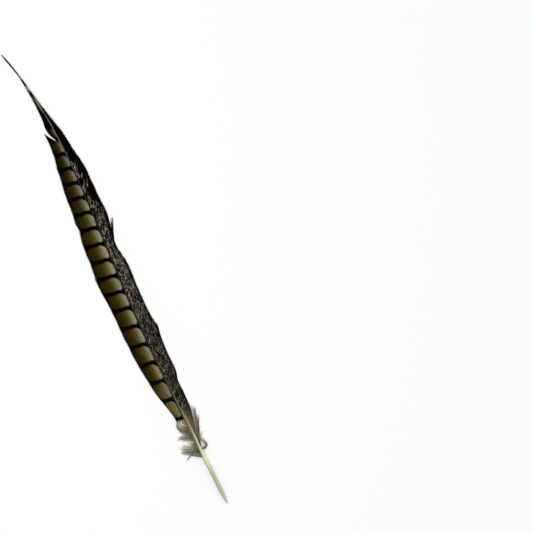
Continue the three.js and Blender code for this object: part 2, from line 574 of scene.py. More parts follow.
@dataclass(frozen=True)
class BarredWeb(WebKeratin):
    """The barred vane's web: olive-brown patches with round corners between black bars.

    Attributes:
        bar: a bar's full width at mid vane, and the last bar's.
        last_bar: how far from the tip the last bar is.
        last_bar_narrows: how far before it the bars start and end to narrow to its width.
        shaft_gap: how far from the shaft's middle line a patch starts.
        shaft_gap_more: how much farther out it starts low down.
        corners: the radii of a patch's corners: tip side and quill side next to the shaft,
            then tip side and quill side next to the edge.
        soft: over how far a patch fades into black.
        fray: how far the fine streaks fray a patch's outline.
        first_patch: where the first patch starts and is whole.
        uneven: how far the broad streaks shift a patch's colours in and out.
        narrower: how much closer to the shaft its colours are, high up.
        strength: how strong its colours are.
        low_patches: where the colours change to those of the low patches.
        centre: how much warmer a patch is, by how far inside its outline.
        tint_away: how much of the tint shows, by the share of the way out.
        streak_width: how wide the pale streak by the tip is.
        streak_core: how far out it is at its full strength.
        downy: how far past the last bar the web turns to down, start and end.
        bar_colours: the bars' colours from tip to quill.
        high_colours: a high patch's colours from shaft to edge.
        low_colours: and a low patch's.
        tints: what a patch's colour is multiplied with, from cool to warm.
        plain_tint: and beside the shaft, where all patches are alike.
        streak_strength: how strong the pale streak is, by decimetres from the tip.
        streak_colour: its colour.
        downy_colour: the colour of the web that has turned to down.
    """

    bar: tuple[float, float] = (4.7, 3.6)
    last_bar: float = 447.0
    last_bar_narrows: tuple[float, float] = (22.0, 5.0)
    shaft_gap: Fade = (185.0, 320.0, 0.4, 1.3)
    shaft_gap_more: Fade = (390.0, 425.0, 0.0, 0.6)
    corners: tuple[float, float, float, float] = (4.8, 3.2, 4.8, 3.4)
    soft: float = 1.3
    fray: float = 1.2
    first_patch: tuple[float, float] = (97.0, 102.0)
    uneven: float = 0.35
    narrower: Fade = (112.0, 230.0, 1.28, 1.0)
    strength: Fade = (112.0, 230.0, 0.62, 1.0)
    low_patches: tuple[float, float] = (392.0, 434.0)
    centre: Fade = (0.5, 4.5, 0.0, 0.5)
    tint_away: Fade = (0.12, 0.4, 0.25, 1.0)
    streak_width: Fade = (49.0, 56.0, 3.2, 1.9)
    streak_core: float = 1.1
    downy: tuple[float, float] = (1.5, 4.0)

    bar_colours: Stops = ((0.1, "#050302"), (0.55, "#060302"), (0.72, "#0d0805"), (0.8, "#110c07"))
    high_colours: Stops = (
        (0.04, "#948f7f"), (0.12, "#9b9582"), (0.22, "#867f66"), (0.36, "#635734"),
        (0.56, "#413311"), (0.74, "#352b0f"), (0.93, "#29220e"),
    )
    low_colours: Stops = (
        (0.05, "#6c6446"), (0.2, "#837b5d"), (0.4, "#7a7153"), (0.6, "#6c6246"),
        (0.8, "#615533"), (0.95, "#5f5832"),
    )
    tints: Stops = ((0.0, "#e2f4cc"), (1.0, "#ffe9d6"))
    plain_tint: str = "#fffdf6"
    streak_strength: Stops = (
        (0.305, "#000000"), (0.315, "#b0b0b0"), (0.33, "#b0b0b0"), (0.345, "#000000"),
        (0.43, "#000000"), (0.45, "#ffffff"), (0.48, "#ffffff"), (0.5, "#000000"),
        (0.57, "#000000"), (0.61, "#d0d0d0"), (0.74, "#d0d0d0"), (0.8, "#000000"),
    )
    streak_colour: str = "#9a927c"
    downy_colour: str = "#8d8265"

    def pattern(self, add: AddNode) -> tuple[Socket, Socket]:
        """Adds the bars, the patches and the streaks; see Keratin.pattern."""
        place, barb, bars = (
            add("Attribute", attribute_name=name).node.outputs["Vector"]
            for name in ("place", "barb", "bars")
        )
        from_tip, out, reach = add("SeparateXYZ", (place,)).node.outputs
        fine, broad = self.streaks(add, barb)
        gap = self.patch(add, from_tip, out, bars, fine)
        half = self.soft / 2
        inside = add("MapRange", (gap, -half, half), interpolation_type="SMOOTHSTEP")
        begun = add("MapRange", (from_tip, *self.first_patch))
        inside = add("Math", (inside, begun), operation="MULTIPLY")
        share = add("Math", (out, reach), operation="DIVIDE")
        uneven = add("Math", (broad, NOISE_MIDDLE), operation="SUBTRACT")
        share = add("Math", (uneven, self.uneven, share), operation="MULTIPLY_ADD")
        patch = self.patch_colour(add, from_tip, share)
        tint = self.tint(add, add("SeparateXYZ", (bars,)), gap, share)
        patch = add("VectorMath", (patch, tint), operation="MULTIPLY")
        along = add("Math", (from_tip, WEB_RAMP_LENGTH), operation="DIVIDE")
        black = add("ValToRGB", (along,), self.bar_colours)
        colour = add("Mix", {0: inside, 6: black, 7: patch}, data_type="RGBA")
        colour = self.pale_streak(add, colour, from_tip, out)
        start, end = (self.last_bar + past for past in self.downy)
        downy = add("MapRange", (from_tip, start, end), interpolation_type="SMOOTHSTEP")
        pale = to_linear(self.downy_colour)
        colour = add("Mix", {0: downy, 6: colour, 7: pale}, data_type="RGBA")
        return self.combed(add, colour, fine, broad), fine

    def patch_colour(self, add: AddNode, from_tip: Socket, share: Socket) -> Socket:
        """Adds the patches' colour: pale by the shaft and dark at the edge.

        Args:
            add: adds a node to the material.
            from_tip: distance from the tip.
            share: how far out, as a share of the vane's width.

        Returns:
            The colour, which low down the feather is pale all over.
        """
        narrower = add("MapRange", (from_tip, *self.narrower))
        narrowed = add("Math", (share, narrower), operation="MULTIPLY")
        high = add("ValToRGB", (narrowed,), self.high_colours)
        low = add("ValToRGB", (share,), self.low_colours)
        lower = add("MapRange", (from_tip, *self.low_patches), interpolation_type="SMOOTHSTEP")
        colour = add("Mix", {0: lower, 6: high, 7: low}, data_type="RGBA")
        strength = add("MapRange", (from_tip, *self.strength))
        return add("VectorMath", (colour, strength), operation="MULTIPLY")

    def tint(self, add: AddNode, nearer: Socket, gap: Socket, share: Socket) -> Socket:
        """Adds the patches' tint: warmer in their middle, and different from patch to patch.

        Args:
            add: adds a node to the material.
            nearer: how many bars lie nearer to the tip.
            gap: how far inside a patch's outline.
            share: how far out, as a share of the vane's width.

        Returns:
            A colour to multiply the patches' colour with, nearly white beside the shaft.
        """
        which = add("Math", (nearer,), operation="FLOOR")
        drawn = add("TexWhiteNoise", {1: which}, noise_dimensions="1D")
        centre = add("MapRange", (gap, *self.centre))
        warmth = add("Math", (drawn, 0.5, centre), operation="MULTIPLY_ADD")
        tint = add("ValToRGB", (warmth,), self.tints)
        away = add("MapRange", (share, *self.tint_away))
        plain = to_linear(self.plain_tint)
        return add("Mix", {0: away, 6: plain, 7: tint}, data_type="RGBA")

    def patch(
        self, add: AddNode, from_tip: Socket, out: Socket, bars: Socket, fine: Socket
    ) -> Socket:
        """Adds the patches: boxes with round corners, one between each two bars.

        Args:
            add: adds a node to the material.
            from_tip: distance from the tip.
            out: distance from the shaft's middle line.
            bars: the vector (bars nearer to the tip, how far out a patch reaches, pitch).
            fine: the fine streaks, which fray the patches' edges.

        Returns:
            How far inside a patch's outline a place is, below 0 on the black.
        """
        nearer, edge, pitch = add("SeparateXYZ", (bars,)).node.outputs
        cell = add("Math", (nearer,), operation="FRACT")
        cell = add("Math", (cell, 0.5), operation="SUBTRACT")
        x = add("Math", (cell, pitch), operation="MULTIPLY")
        start, end = (self.last_bar - before for before in self.last_bar_narrows)
        bar = add("MapRange", (from_tip, start, end, *self.bar))
        half_x = add("Math", (pitch, bar), operation="SUBTRACT")
        half_x = add("Math", (half_x, 0.5), operation="MULTIPLY")
        start = add("MapRange", (from_tip, *self.shaft_gap))
        more = add("MapRange", (from_tip, *self.shaft_gap_more))
        start = add("Math", (start, more), operation="ADD")
        half_y = add("Math", (edge, start), operation="SUBTRACT")
        half_y = add("Math", (half_y, 0.5), operation="MULTIPLY")
        half_y = add("Math", (half_y, 0.1), operation="MAXIMUM")
        y = add("Math", (out, half_y), operation="SUBTRACT")
        y = add("Math", (y, start), operation="SUBTRACT")
        to_quill, to_edge = (add("Math", (way, 0.0), operation="GREATER_THAN") for way in (x, y))
        by_shaft = add("Mix", {0: to_quill, 2: self.corners[0], 3: self.corners[1]})
        by_edge = add("Mix", {0: to_quill, 2: self.corners[2], 3: self.corners[3]})
        radius = add("Mix", {0: to_edge, 2: by_shaft, 3: by_edge})
        radius = add("Math", (radius, half_y), operation="MINIMUM")
        at = add("VectorMath", (add("CombineXYZ", (x, y)),), operation="ABSOLUTE")
        box = add("CombineXYZ", (half_x, half_y))
        round_by = add("CombineXYZ", (radius, radius))
        core = add("VectorMath", (box, round_by), operation="SUBTRACT")
        past = add("VectorMath", (at, core), operation="SUBTRACT")
        past = add("VectorMath", (past, (0.0, 0.0, 0.0)), operation="MAXIMUM")
        past = add("VectorMath", (past,), operation="LENGTH")
        gap = add("Math", (radius, past), operation="SUBTRACT")
        fray = add("Math", (fine, NOISE_MIDDLE), operation="SUBTRACT")
        return add("Math", (fray, self.fray, gap), operation="MULTIPLY_ADD")

    def pale_streak(self, add: AddNode, colour: Socket, from_tip: Socket, out: Socket) -> Socket:
        """Adds two pale specks and a pale streak along the shaft, close to the tip.

        Args:
            add: adds a node to the material.
            colour: the colour without them.
            from_tip: distance from the tip.
            out: distance from the shaft's middle line.

        Returns:
            The colour with them.
        """
        decimetres = add("Math", (from_tip, 0.01), operation="MULTIPLY")
        pale = add("ValToRGB", (decimetres,), self.streak_strength)
        wide = add("MapRange", (from_tip, *self.streak_width))
        near = add("MapRange", (out, wide, self.streak_core))
        pale = add("Math", (pale, near), operation="MULTIPLY")
        streak = to_linear(self.streak_colour)
        return add("Mix", {0: pale, 6: colour, 7: streak}, data_type="RGBA")


@dataclass(frozen=True)
class MottledWeb(WebKeratin):
    """The mottled vane's web: pale wavy lines, drawn out along the barbs, on near-black.

    Attributes:
        line_spacing: how far apart the pale lines are rooted, high up the feather and low
            down.
        closer_from: where the barbs are rooted from which the lines are closer together.
        turns: how many times in a millimetre of its barb a line turns.
        tone_shift: how far a barb's own tone shifts the lines on it.
        dash: over how far the lines grow thin and thick again, along the shaft.
        gaps: how much higher or lower that makes a line.
        ridge: a line's height at its crest, and how fast it falls away from it.
        soft: how far below and above the level a line fades.
        slices: at which depths of the noise the lines, and their thick and thin parts, are
            read.
        begun: the level that a line has to reach, by the distance from the tip.
        fewer: how much higher the level is below the thinly lined part.
        lower: how much lower it is low down.
        margin: how wide the dark border at the vane's edge is.
        border: how near to the edge the border is full, how much higher the level is there,
            and how much higher it still is at the border's inner end.
        hidden: how much higher the level is on the shaft.
        beside: where the lines are denser beside the shaft.
        denser: how much lower the level is there, by the distance from the tip.
        downy: where the web turns to down.
        downy_gain: how strong the down's colour is, by how far out.
        downy_beside: and how much stronger beside the shaft.
        dark_colour: the colour between the lines.
        line_colours: the lines' colours from tip to quill.
        downy_colours: the colours from tip to quill of the web that has turned to down.
    """

    line_spacing: tuple[float, float] = (3.3, 2.6)
    closer_from: float = 205.0
    turns: Fade = (175.0, 235.0, 1 / 12.0, 1 / 1.55)
    tone_shift: float = 0.14
    dash: float = 4.0
    gaps: tuple[float, float] = (-0.7, 0.7)
    ridge: tuple[float, float] = (1.6, 15.0)
    soft: tuple[float, float] = (-0.2, 0.3)
    slices: tuple[float, float] = (0.4, 7.3)
    begun: Fade = (100.0, 150.0, 2.9, 1.12)
    fewer: Fade = (165.0, 195.0, 0.0, 0.17)
    lower: Fade = (230.0, 270.0, 0.0, -0.2)
    margin: Fade = (150.0, 215.0, 8.5, 2.2)
    border: tuple[float, float, float] = (0.3, 1.2, 0.0)
    hidden: Fade = (0.6, 1.25, 1.6, 0.0)
    beside: Fade = (1.8, 4.0, 1.0, 0.0)
    denser: Fade = (105.0, 205.0, -1.3, -0.22)
    downy: tuple[float, float] = (434.0, 453.0)
    downy_gain: Fade = (2.0, 9.0, 1.4, 0.75)
    downy_beside: Fade = (1.8, 3.0, 2.3, 1.0)

    dark_colour: str = "#0b0706"
    line_colours: Stops = ((0.54, "#aa9f8c"), (0.64, "#958b77"), (0.74, "#857b66"))
    downy_colours: Stops = (
        (0.78, "#52483a"), (0.81, "#584e3c"), (0.835, "#5f5643"), (0.86, "#736a54"),
    )

    def pattern(self, add: AddNode) -> tuple[Socket, Socket]:
        """Adds the wavy lines and the streaks; see Keratin.pattern."""
        place, barb = (
            add("Attribute", attribute_name=name).node.outputs["Vector"]
            for name in ("place", "barb")
        )
        from_tip, out, reach = add("SeparateXYZ", (place,)).node.outputs
        fine, broad = self.streaks(add, barb)
        lines = self.lines(add, barb, from_tip)
        level = self.level(add, from_tip, out, reach)
        above = add("Math", (lines, level), operation="SUBTRACT")
        pale = add("MapRange", (above, *self.soft), interpolation_type="SMOOTHSTEP")
        along = add("Math", (from_tip, WEB_RAMP_LENGTH), operation="DIVIDE")
        line = add("ValToRGB", (along,), self.line_colours)
        dark = to_linear(self.dark_colour)
        colour = add("Mix", {0: pale, 6: dark, 7: line}, data_type="RGBA")
        downy = add("MapRange", (from_tip, *self.downy), interpolation_type="SMOOTHSTEP")
        fluffy = add("ValToRGB", (along,), self.downy_colours)
        gain = add("MapRange", (out, *self.downy_gain))
        beside = add("MapRange", (out, *self.downy_beside))
        gain = add("Math", (gain, beside), operation="MULTIPLY")
        fluffy = add("VectorMath", (fluffy, gain), operation="MULTIPLY")
        colour = add("Mix", {0: downy, 6: colour, 7: fluffy}, data_type="RGBA")
        return self.combed(add, colour, fine, broad), fine

    def level(self, add: AddNode, from_tip: Socket, out: Socket, reach: Socket) -> Socket:
        """Adds how high a wave must be to show as a pale line.

        Args:
            add: adds a node to the material.
            from_tip: distance from the tip.
            out: distance from the shaft's middle line.
            reach: how far out the vane's edge is there.

        Returns:
            A level, so high at the tip and at the vane's edge that no line shows.
        """
        level = add("MapRange", (from_tip, *self.begun), interpolation_type="SMOOTHSTEP")
        edge_gap = add("Math", (reach, out), operation="SUBTRACT")
        margin = add("MapRange", (from_tip, *self.margin))
        start, at_edge, inside = self.border
        border = add("MapRange", (edge_gap, start, margin, at_edge, inside))
        hidden = add("MapRange", (out, *self.hidden))
        beside = add("MapRange", (out, *self.beside))
        denser = add("MapRange", (from_tip, *self.denser))
        near = add("Math", (beside, denser, hidden), operation="MULTIPLY_ADD")
        lower, fewer = (add("MapRange", (from_tip, *fade)) for fade in (self.lower, self.fewer))
        for change in (lower, fewer, border, near):
            level = add("Math", (level, change), operation="ADD")
        return level

    def lines(self, add: AddNode, barb: Socket, from_tip: Socket) -> Socket:
        """Adds thin lines that wander and meet as in a maze, drawn out along the barbs.

        Args:
            add: adds a node to the material.
            barb: the vector (root, run, tone) of each place.
            from_tip: distance from the tip.

        Returns:
            A value that is high on the lines and low between them.
        """
        root, run, tone = add("SeparateXYZ", (barb,)).node.outputs
        upper, lower = (1 / spacing for spacing in self.line_spacing)
        past = add("Math", (root, self.closer_from), operation="SUBTRACT")
        past = add("Math", (past, 0.0), operation="MAXIMUM")
        x = add("Math", (root, upper), operation="MULTIPLY")
        x = add("Math", (past, lower - upper, x), operation="MULTIPLY_ADD")
        x = add("Math", (tone, self.tone_shift, x), operation="MULTIPLY_ADD")
        turns = add("MapRange", (from_tip, *self.turns))
        y = add("Math", (run, turns), operation="MULTIPLY")
        line_slice, gap_slice = self.slices
        at = add("CombineXYZ", (x, y, line_slice))
        height = add("TexNoise", {"Vector": at, "Scale": 1.0, "Detail": 0.4})
        off = add("Math", (height, NOISE_MIDDLE), operation="SUBTRACT")
        off = add("Math", (off,), operation="ABSOLUTE")
        crest, fall = self.ridge
        ridge = add("Math", (off, -fall, crest), operation="MULTIPLY_ADD")
        x = add("Math", (root, 1 / self.dash), operation="MULTIPLY")
        y = add("Math", (y, 0.5), operation="MULTIPLY")
        at = add("CombineXYZ", (x, y, gap_slice))
        thinned = add("TexNoise", {"Vector": at, "Scale": 1.0, "Detail": 1.0})
        gaps = add("MapRange", (thinned, *NOISE_SPAN, *self.gaps))
        return add("Math", (ridge, gaps), operation="ADD")


@dataclass(frozen=True)
class ShaftHorn(Keratin):
    """Keratin grown as a smooth tube: horn, cream at the quill and dark between the vanes.

    It gives the eye a satin gloss and faint lines along the shaft. Its colours also hold painted
    light: a painted highlight on the pale stretch near the quill, and a painted shadow down the
    shaft's far side.

    Attributes:
        lines: how many lines a millimetre holds along the shaft, across it and in height.
            Real ones are finer, and are drawn coarse enough to show.
        shade: how dark and how light the lines are.
        shadow: how dark the shaft's far side is, by the place across it.
        shadow_shift: how far the shadow moves across where shadow_moves is white.
        colours: the colours from tip to quill. The brightest, yellow-cream stretch near the quill
            is partly the quill's own pale colour and partly a painted highlight.
        shadow_moves: where along the shaft the shadow moves.
    """

    lines: tuple[float, float, float] = (0.03, 2.5, 2.5)
    shade: tuple[float, float] = (0.85, 1.12)
    shadow: Fade = (-0.95, -0.2, 0.22, 1.0)
    shadow_shift: float = -0.9
    colours: Stops = (
        (0.0, "#14110f"), (0.052, "#1b1815"), (0.058, "#77726a"), (0.066, "#1e1915"),
        (0.078, "#241e19"), (0.084, "#b3ac96"), (0.09, "#a39b86"), (0.096, "#15110d"),
        (0.108, "#2a251e"), (0.115, "#8b8370"), (0.138, "#565046"), (0.165, "#6f685c"),
        (0.2, "#756e61"), (0.24, "#5f584d"), (0.275, "#2e281e"), (0.34, "#241e14"),
        (0.41, "#251f12"), (0.64, "#251f12"), (0.7, "#43391f"), (0.74, "#5f563a"),
        # the brightest, yellow-cream stops near the quill: partly the quill's own pale colour,
        # partly painted highlight
        (0.775, "#81775b"), (0.815, "#aaa082"), (0.836, "#c0bb91"), (0.85, "#dbd9ac"),
        (0.9, "#e8eab6"), (0.925, "#c8c6a2"), (0.95, "#b8b597"), (0.99, "#bdbaa2"),
    )
    shadow_moves: Stops = ((0.66, "#000000"), (0.7, "#ffffff"), (0.85, "#ffffff"), (0.9, "#000000"))

    def pattern(self, add: AddNode) -> tuple[Socket, Socket]:
        """Adds the colours from tip to quill and the lines; see Keratin.pattern."""
        place = add("Attribute", attribute_name="place").node.outputs["Vector"]
        from_tip, out, _ = add("SeparateXYZ", (place,)).node.outputs
        stretched = add("VectorMath", (place, self.lines), operation="MULTIPLY")
        grain = add("TexNoise", {"Vector": stretched, "Scale": 1.0, "Detail": 3.0})
        along = add("Math", (from_tip, SHAFT_RAMP_LENGTH), operation="DIVIDE")
        colour = add("ValToRGB", (along,), self.colours)
        shade = add("MapRange", (grain, *NOISE_SPAN, *self.shade))
        colour = add("VectorMath", (colour, shade), operation="MULTIPLY")
        moves = add("ValToRGB", (along,), self.shadow_moves)
        turned = add("Math", (moves, self.shadow_shift, out), operation="MULTIPLY_ADD")
        shadow = add("MapRange", (turned, *self.shadow))
        return add("VectorMath", (colour, shadow), operation="MULTIPLY"), grain


@dataclass(frozen=True)
class DownKeratin(Keratin):
    """Keratin grown as loose barbs whose barbules don't hook together: down.

    It gives the eye a soft haze with no gloss, darker at its roots and pale at its tips.

    Attributes:
        fluff: how many soft patches of light and dark a millimetre holds, each way.
        shade: how dark and how light those are.
        barb_shade: how dark and how light single barbs are, by their tone.
        greys: the grey-brown down's colours, from root to tip.
        creams: and the cream down's.
    """

    fluff: tuple[float, float, float] = (0.6, 0.6, 0.6)
    shade: tuple[float, float] = (0.8, 1.2)
    barb_shade: Fade = (-1.6, 1.6, 0.25, 1.75)
    greys: Stops = ((0.05, "#4a4334"), (0.28, "#746b57"), (0.6, "#9b917d"), (0.95, "#b8b0a0"))
    creams: Stops = ((0.05, "#857b62"), (0.3, "#b8b098"), (0.6, "#dfd9c7"), (0.95, "#dedacf"))

    def pattern(self, add: AddNode) -> tuple[Socket, Socket]:
        """Adds the colours from root to tip; see Keratin.pattern."""
        place, barb = (
            add("Attribute", attribute_name=name).node.outputs["Vector"]
            for name in ("place", "barb")
        )
        share, cream, tone = add("SeparateXYZ", (barb,)).node.outputs
        stretched = add("VectorMath", (place, self.fluff), operation="MULTIPLY")
        grain = add("TexNoise", {"Vector": stretched, "Scale": 1.0, "Detail": 3.0})
        grey = add("ValToRGB", (share,), self.greys)
        pale = add("ValToRGB", (share,), self.creams)
        colour = add("Mix", {0: cream, 6: grey, 7: pale}, data_type="RGBA")
        shade = add("MapRange", (grain, *NOISE_SPAN, *self.shade))
        barb_shade = add("MapRange", (tone, *self.barb_shade))
        shade = add("Math", (shade, barb_shade), operation="MULTIPLY")
        return add("VectorMath", (colour, shade), operation="MULTIPLY"), grain


# --------------------------------------------------------------------------- shaft


@dataclass
class Shaft:
    """The calamus and the rachis: one oval rod that thins to a hair at the tip.

    Attributes:
        line: the shaft's middle line.
        stations: how many steps it has along its length.
        sides: how many faces it has round it.
        groove: how deep the furrow on its underside is, as a share of the depth.
        groove_from: where the furrow starts and ends, from the tip.
        groove_fades: over how far it deepens there.
        groove_angle: how wide it is round the shaft, in radians.
        evenness: the share of the stations that lie evenly, not closer at both ends.
        chart_width: how wide the shaft is on the flat map.
        finish: what it is made of.
    """

    line: ShaftLine
    stations: int = 240
    sides: int = 20
    groove: float = 0.16
    groove_from: tuple[float, float] = (40.0, 450.0)
    groove_fades: tuple[float, float] = (40.0, 60.0)
    groove_angle: float = 0.4
    evenness: float = 0.6
    chart_width: float = 0.9
    finish: ShaftHorn = ShaftHorn("horn_shaft", (0.32, 0.5), 0.03, 0.1)

    def strands(self) -> Strands:
        """The rod as one swept strand, with its stations closer together at both ends.

        Returns:
            The strand.
        """
        share = np.linspace(0, 1, self.stations)
        eased = self.evenness * share + (1 - self.evenness) * smooth_step(share, 0, 1)
        from_tip = (self.line.length * eased)[None]
        angle = np.linspace(0, 2 * math.pi, self.sides, endpoint=False)
        ring = np.stack([np.cos(angle), np.sin(angle)], -1) / 2
        start, end = self.groove_from
        above, below = self.groove_fades
        furrowed = smooth_step(from_tip, start, start + above)
        furrowed = furrowed * smooth_step(from_tip, end, end - below)
        dent = np.exp(-0.5 * ((angle - 1.5 * math.pi) / self.groove_angle) ** 2)
        section = np.broadcast_to(ring, (1, self.stations, self.sides, 2)).copy()
        section[..., 1] += self.groove * furrowed[..., None] * dent
        middle = self.line.middle(from_tip)
        side = np.zeros_like(from_tip)
        return Strands(
            centre=middle,
            width=SHAFT_WIDTH(from_tip),
            depth=SHAFT_DEPTH(from_tip),
            section=section,
            values={"place": np.stack([from_tip, side, middle[..., 2]], -1)},
            chart=np.stack([side + 0.5, from_tip / self.line.length], -1),
            chart_width=self.chart_width,
        )

    def build(self) -> bpy.types.Object:
        """Makes the shaft.

        Returns:
            The finished piece.
        """
        draft = Draft("shaft")
        strand = self.strands()
        draft.add(strand)
        piece = draft.make(self.finish.make(), Slot.SHAFT, smooth=True)
        around = np.broadcast_to(strand.section[..., 0] * -2, (1, self.stations, self.sides))
        values = np.empty(len(piece.data.vertices) * 3, np.float32)
        place = piece.data.attributes["place"]
        place.data.foreach_get("vector", values)
        values[1::3] = around.ravel()
        place.data.foreach_set("vector", values)
        return piece


# --------------------------------------------------------------------------- vanes


@dataclass(frozen=True)
class Bars:
    """Where a vane's bars and patches are.

    Attributes:
        nearer: how many bars lie nearer to the tip, whole in the middle of a bar.
        margin: the dark border outside a patch, by the distance from the tip.
        widest: how far out a patch may reach at all.
        swing: how far a bar bends towards the quill at the shaft, and towards the tip at
            the vane's edge.
        fray: how much the bars differ from barb to barb.
        step: over how far to each side the bars' pitch is measured.
    """

    nearer: Profile = Profile(
        (
            (61, -5), (96, -2), (128.7, 0), (198.6, 4), (273.9, 8),
            (312.4, 10), (355.9, 12), (400.4, 14), (447, 16), (497, 18),
        )
    )
    margin: Profile = Profile(
        ((100, 1.5), (150, 1.4), (250, 1.5), (340, 1.3), (400, 1.0), (440, 0.7))
    )
    widest: Profile = Profile(((100, 5.2), (112, 5.6), (115, 9), (119, 30)))
    swing: tuple[float, float] = (2.2, 1.7)
    fray: float = 0.22
    step: float = 8.0

    def values(
        self, from_tip: np.ndarray, out: np.ndarray, reach: np.ndarray, rng: np.random.Generator
    ) -> np.ndarray:
        """What the finish reads to draw the bars and the patches.

        Args:
            from_tip: distances from the tip.
            out: distances from the middle line.
            reach: how far out the vane's edge is there.
            rng: the source of the random numbers, which fray the bars.

        Returns:
            For each station: how many bars lie nearer to the tip, how far out a patch
            reaches, and how far apart the bars are.
        """
        share = out / reach
        bend = self.swing[0] * (1 - smooth_step(share, 0, 0.35))
        bend = bend - self.swing[1] * smooth_step(share, 0.5, 1)
        fray = self.fray * rng.normal(size=(len(from_tip), 1))
        at = from_tip - bend + fray
        pitch = 2 * self.step / (self.nearer(at + self.step) - self.nearer(at - self.step))
        edge = np.minimum(reach - self.margin(from_tip), self.widest(from_tip))
        return np.stack([self.nearer(at), edge, pitch], -1)


@dataclass(frozen=True)
class Web:
    """A part of a vane that no split runs through.

    Attributes:
        roots: where its first and last barb are rooted, from the tip.
        edge: how far out its edge is, by the distance from the tip.
    """

    roots: tuple[float, float]
    edge: Profile


@dataclass(frozen=True)
class Unevenness:
    """How much a web's barbs differ from one another. A wander is (how far, over how many barbs).

    Attributes:
        edge: how their ends wander together, as a share of the vane's width.
        ends: how much single ends differ.
        drifts: how barbs drift along the shaft, in broad and in narrow groups.
        drift_bend: the power by which the drift grows from root to end.
        lift: how barbs lift off the web.
        ripple: how high the web ripples.
        ripple_lengths: how long the ripples are, and over how much they change.
        ripple_change: how much they change.
    """

    edge: tuple[float, float] = (0.008, 5)
    ends: float = 0.1
    drifts: Points = ((0.22, 7), (0.08, 2))
    drift_bend: float = 1.6
    lift: tuple[float, float] = (0.05, 1.5)
    ripple: float = 0.12
    ripple_lengths: tuple[float, float] = (9, 31)
    ripple_change: float = 2


@dataclass(frozen=True)
class Lock:
    """A few barbs that stand free together, along a curve from foot to tip.

    Attributes:
        foot: where it is rooted: distance from the tip, and out.
        bend: the point that it bends towards.
        tip: where it ends.
        width: its full width.
        barbs: how many barbs it has.
        fluff: how long its barbules are, or 0 where they cling to their barb.
        cream: how pale it is, from 0, grey-brown, to 1, cream.
        rise: how far it arches up.
        gathered: its width at the foot, as a share of its full width.
        lengths: how much its barbs differ in length, and the shortest and longest of them,
            as shares of its own length.
        spread: how unevenly its barbs are fanned, as a share of its width.
        curl: how far their ends curl to the side, as a share of its width.
        opening: the power by which it opens from foot to tip.
        climb: how much higher than its foot it ends.
        arching: how much more than its rise a barb arches at most.
    """

    foot: tuple[float, float]
    bend: tuple[float, float]
    tip: tuple[float, float]
    width: float
    barbs: int
    fluff: float = 0.0
    cream: float = 0.0
    rise: float = 0.4
    gathered: float = 0.35
    lengths: tuple[float, float, float] = (0.1, 0.7, 1.1)
    spread: float = 0.06
    curl: float = 0.14
    opening: float = 0.8
    climb: float = 0.35
    arching: float = 1.4


HALVINGS = 24  # how often the search for a web's edge halves what is left to search
LEAST_REACH = 0.5  # how far out a web's edge is at least, so that shares of it can be taken
CHART_MARGIN = 0.002  # what is left free at the flat map's edges, as a share of it
HAIR_ON_CHART = 0.001  # how wide a barbule or a free barb is on it

# The sections that are swept along a barb and along a barbule, as shares of width and depth.
ROOF = np.array([(-0.5, -0.3), (0.0, 0.5), (0.5, 0.1), (0.0, -0.5)])
NEEDLE = np.array([(-0.5, -0.4), (0.0, 0.5), (0.5, -0.4)])


